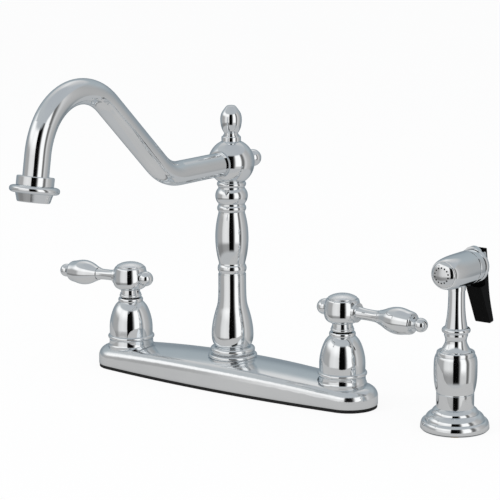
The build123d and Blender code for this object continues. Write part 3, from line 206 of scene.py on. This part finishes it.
# Plating: darkest and palest tone, roughness and its spread.
chrome_low, chrome_high = (0.86, 0.875, 0.885), (0.90, 0.91, 0.915)
finishes = {
    "chrome": chrome("polished_chrome", chrome_low, chrome_high, 0.025, 0.05),
    "plate": chrome("plate_chrome", chrome_low, chrome_high, 0.1, 0.05),
    # Index caps: a satin polish, and a paler tone that is a painted highlight on their domes.
    "cap": chrome("satin_cap_chrome_painted_highlight", (0.92, 0.93, 0.94), (0.96, 0.965, 0.97), 0.24, 0.08),
    "spray_plate": chrome("spray_chrome", (0.82, 0.83, 0.835), (0.87, 0.88, 0.885), 0.05, 0.06),
}
# Other surfaces: the same, then the grain's fineness and depth.
finishes.update({
    "steel": moulding(
        "stainless_steel", (0.50, 0.51, 0.52), (0.62, 0.63, 0.64), 0.22, 0.14, 900.0, 0.08,
        metallic=1.0),
    # Brass gets painted shade in the narrow gaps beside other pieces.
    "brass": moulding(
        "raw_brass", (0.58, 0.42, 0.19), (0.74, 0.56, 0.28), 0.24, 0.18, 700.0, 0.1,
        metallic=1.0, painted_shade_reach=0.004),
    "copper": moulding(
        "copper_tube", (0.62, 0.32, 0.20), (0.76, 0.44, 0.29), 0.22, 0.16, 700.0, 0.08,
        metallic=1.0),
    "rubber": moulding(
        "black_rubber", (0.008, 0.008, 0.008), (0.016, 0.016, 0.016), 0.5, 0.2, 1500.0, 0.2,
        gloss=0.3),
    "black_plastic": moulding(
        "black_moulding", (0.002, 0.002, 0.002), (0.004, 0.004, 0.004), 0.24, 0.1, 1100.0, 0.05,
        gloss=0.04),
    "grey_plastic": moulding(
        "grey_moulding", (0.42, 0.43, 0.44), (0.52, 0.53, 0.54), 0.34, 0.16, 900.0, 0.1),
    "ceramic": moulding(
        "lapped_ceramic", (0.80, 0.79, 0.76), (0.88, 0.87, 0.84), 0.18, 0.1, 1200.0, 0.04),
})
slots = {part["node"]: part["material_slot"] for part in frame["record"]["subparts"]}
softer = {"hot_index_cap": "cap", "cold_index_cap": "cap", "deck_plate": "plate"}
for name, node in nodes.items():
    finish = softer.get(name, slots[name])
    node.data.materials.clear()
    node.data.materials.append(finishes[finish])


def seen_rays(tree):
    # Rays that show a background: straight to the camera, or by way of metal or glass.
    rays = tree.node("ShaderNodeLightPath")
    direct = rays.outputs["Is Camera Ray"]
    glossy, through = rays.outputs["Is Glossy Ray"], rays.outputs["Is Transmission Ray"]
    mirrored = tree.math("MAXIMUM", glossy, through)
    return direct, tree.math("MAXIMUM", direct, mirrored)


def add_world():
    # Studio that the chrome mirrors. Turn is measured from the camera, to the right, and lift
    # from the horizon, both in degrees. Other rays get an even light, and the camera sees white.
    below_start, foot_start, high_start, roof_start, zenith_start = -22, -12, 8, 34, 58
    below_full, foot_full, high_full, roof_full, zenith_full = -27, -17, 24, 42, 72
    below_grey = (0.50, 0.51, 0.52, 1.0)
    zenith_grey = (0.46, 0.49, 0.52, 1.0)
    white = (1.0, 1.0, 1.0, 1.0)
    ambient_colour, ambient_strength = (0.97, 0.98, 1.0, 1.0), 0.8
    gap = 0.002

    world = bpy.data.worlds.new("studio")
    scene.world = world
    world.use_nodes = True
    tree = Tree(world.node_tree)
    out = tree.node("ShaderNodeOutputWorld")
    direction = tree.node("ShaderNodeTexCoord").outputs["Generated"]
    turned = tree.node("ShaderNodeVectorRotate", rotation_type="Z_AXIS")
    turned.inputs["Angle"].default_value = -view_turn
    tree.link(direction, turned.inputs["Vector"])
    split = tree.node("ShaderNodeSeparateXYZ")
    tree.link(turned.outputs["Vector"], split.inputs["Vector"])
    towards_camera = tree.math("MULTIPLY", split.outputs["Y"], -1.0)
    turn = tree.math("ARCTAN2", split.outputs["X"], towards_camera)
    lift = tree.math("ARCSINE", split.outputs["Z"])
    place = tree.band(turn, radians(-180), radians(180), smooth=False)

    def around(*stops):
        return tree.ramp(place, [((degrees + 180) / 360, colour) for degrees, colour in stops])

    def panels(back, side, left, right):
        # Grey back wall, a pale panel on the left, a black gap with a soft right edge, and a
        # white panel on the right with a dark edge.
        return around(
            (-180, back), (-130, back), (-100, side), (-76, side),
            (-64, 0.9 * left), (-42, left), (-20, 0.9 * left),
            (-18, gap), (8, gap), (12, 0.05), (16, 0.20), (20, 0.55),
            (24, 0.92 * right), (28, right), (48, right),
            (52, 0.60), (56, 0.16), (65, 0.16), (70, 0.42),
            (76, 0.68), (90, 0.50), (105, 0.44), (130, back), (180, back))

    def over(start, full, under, upper):
        return tree.mix(tree.band(lift, radians(start), radians(full)), under, upper)

    foot = panels((0.24, 0.27, 0.29), 0.24, 0.34, 0.62)
    low = panels((0.33, 0.37, 0.40), 0.40, 0.84, 1.10)
    high = panels((0.43, 0.48, 0.51), 1.08, 1.10, 1.10)
    roof = around(
        (-180, 0.86), (-155, 0.66), (-120, (0.50, 0.53, 0.55)), (60, (0.46, 0.49, 0.52)),
        (120, (0.48, 0.51, 0.54)), (155, 0.66), (180, 0.86))
    studio = over(foot_start, foot_full, low, foot)
    studio = over(high_start, high_full, studio, high)
    studio = over(roof_start, roof_full, studio, roof)
    studio = over(zenith_start, zenith_full, studio, zenith_grey)
    studio = over(below_start, below_full, studio, below_grey)

    direct, seen = seen_rays(tree)
    backdrop = tree.node("ShaderNodeBackground")
    tree.link(tree.mix(direct, studio, white), backdrop.inputs["Color"])
    ambient = tree.node("ShaderNodeBackground")
    ambient.inputs["Color"].default_value = ambient_colour
    ambient.inputs["Strength"].default_value = ambient_strength
    chosen = tree.mix_shaders(seen, ambient, backdrop)
    tree.link(chosen.outputs[0], out.inputs["Surface"])


def flat(name, outline, height):
    mesh = bpy.data.meshes.new(name)
    corners = [(x, y, height) for x, y in outline]
    mesh.from_pydata(corners, [], [tuple(range(len(corners)))])
    made = bpy.data.objects.new(name, mesh)
    scene.collection.objects.link(made)
    surface = bpy.data.materials.new(name)
    surface.use_nodes = True
    mesh.materials.append(surface)
    return made, Tree(surface.node_tree)


def add_floor():
    # White to the camera, apart from the share that keeps the object's shadow.
    reach = 4.0
    shown_share = 0.9
    corners = ((-reach, -reach), (reach, -reach), (reach, reach), (-reach, reach))
    floor, tree = flat("pale_floor", corners, 0.0)
    floor.visible_glossy = False
    out = tree.node("ShaderNodeOutputMaterial")
    matt = tree.node("ShaderNodeBsdfDiffuse")
    tone = noise(tree, object_place(tree), 3.0, 2.0)
    tree.link(tree.ramp(tone, ((0.3, 0.93), (0.7, 0.95))), matt.inputs["Color"])
    glow = tree.node("ShaderNodeEmission")
    shown = tree.math("MULTIPLY", seen_rays(tree)[1], shown_share)
    mixed = tree.mix_shaders(shown, matt, glow)
    tree.link(mixed.outputs[0], out.inputs["Surface"])


def add_painted_floor_reflection():
    # A glowing sheet round the object, which only the metal shows: a painted reflection of the
    # lit floor, with painted shadow where pieces stand on it.
    # It lies just over the floor, so that the floor doesn't count as a piece touching it.
    outline = ((-0.45, -0.02), (0.10, -0.145), (0.30, -0.03), (0.30, 0.06), (-0.45, 0.06))
    over_floor = 0.0005
    low, high = 0.50, 0.54
    shade_reach, shade = 0.015, 0.12
    sheet, tree = flat("painted_floor_reflection", outline, over_floor)
    sheet.visible_camera = False
    sheet.visible_diffuse = False
    sheet.visible_shadow = False
    out = tree.node("ShaderNodeOutputMaterial")
    glow = tree.node("ShaderNodeEmission")
    tone = noise(tree, object_place(tree), 6.0, 2.0)
    floor_reflection_tone = tree.ramp(tone, ((0.3, low), (0.7, high)))
    # Painted shadow: the glow darkens close to pieces that stand on the sheet.
    shaded = tree.mix(1.0, floor_reflection_tone, contact(tree, shade_reach, shade), "MULTIPLY")
    tree.link(shaded, glow.inputs["Color"])
    tree.link(glow.outputs[0], out.inputs["Surface"])


def add_lamp(name, place, power):
    # A soft round lamp that the metal doesn't mirror.
    data = bpy.data.lights.new(name, "AREA")
    data.shape = "DISK"
    data.size = 1.2
    data.energy = power
    lamp = bpy.data.objects.new(name, data)
    scene.collection.objects.link(lamp)
    lamp.location = place
    lamp.rotation_euler = (view_target - Vector(place)).to_track_quat("-Z", "Y").to_euler()
    lamp.visible_glossy = False
    lamp.visible_camera = False


add_camera()
add_world()
add_floor()
add_painted_floor_reflection()
add_lamp("key", (-0.9, -1.1, 1.6), 9.0)
add_lamp("fill", (1.6, -0.5, 1.2), 5.0)

scene.view_settings.view_transform = "Standard"
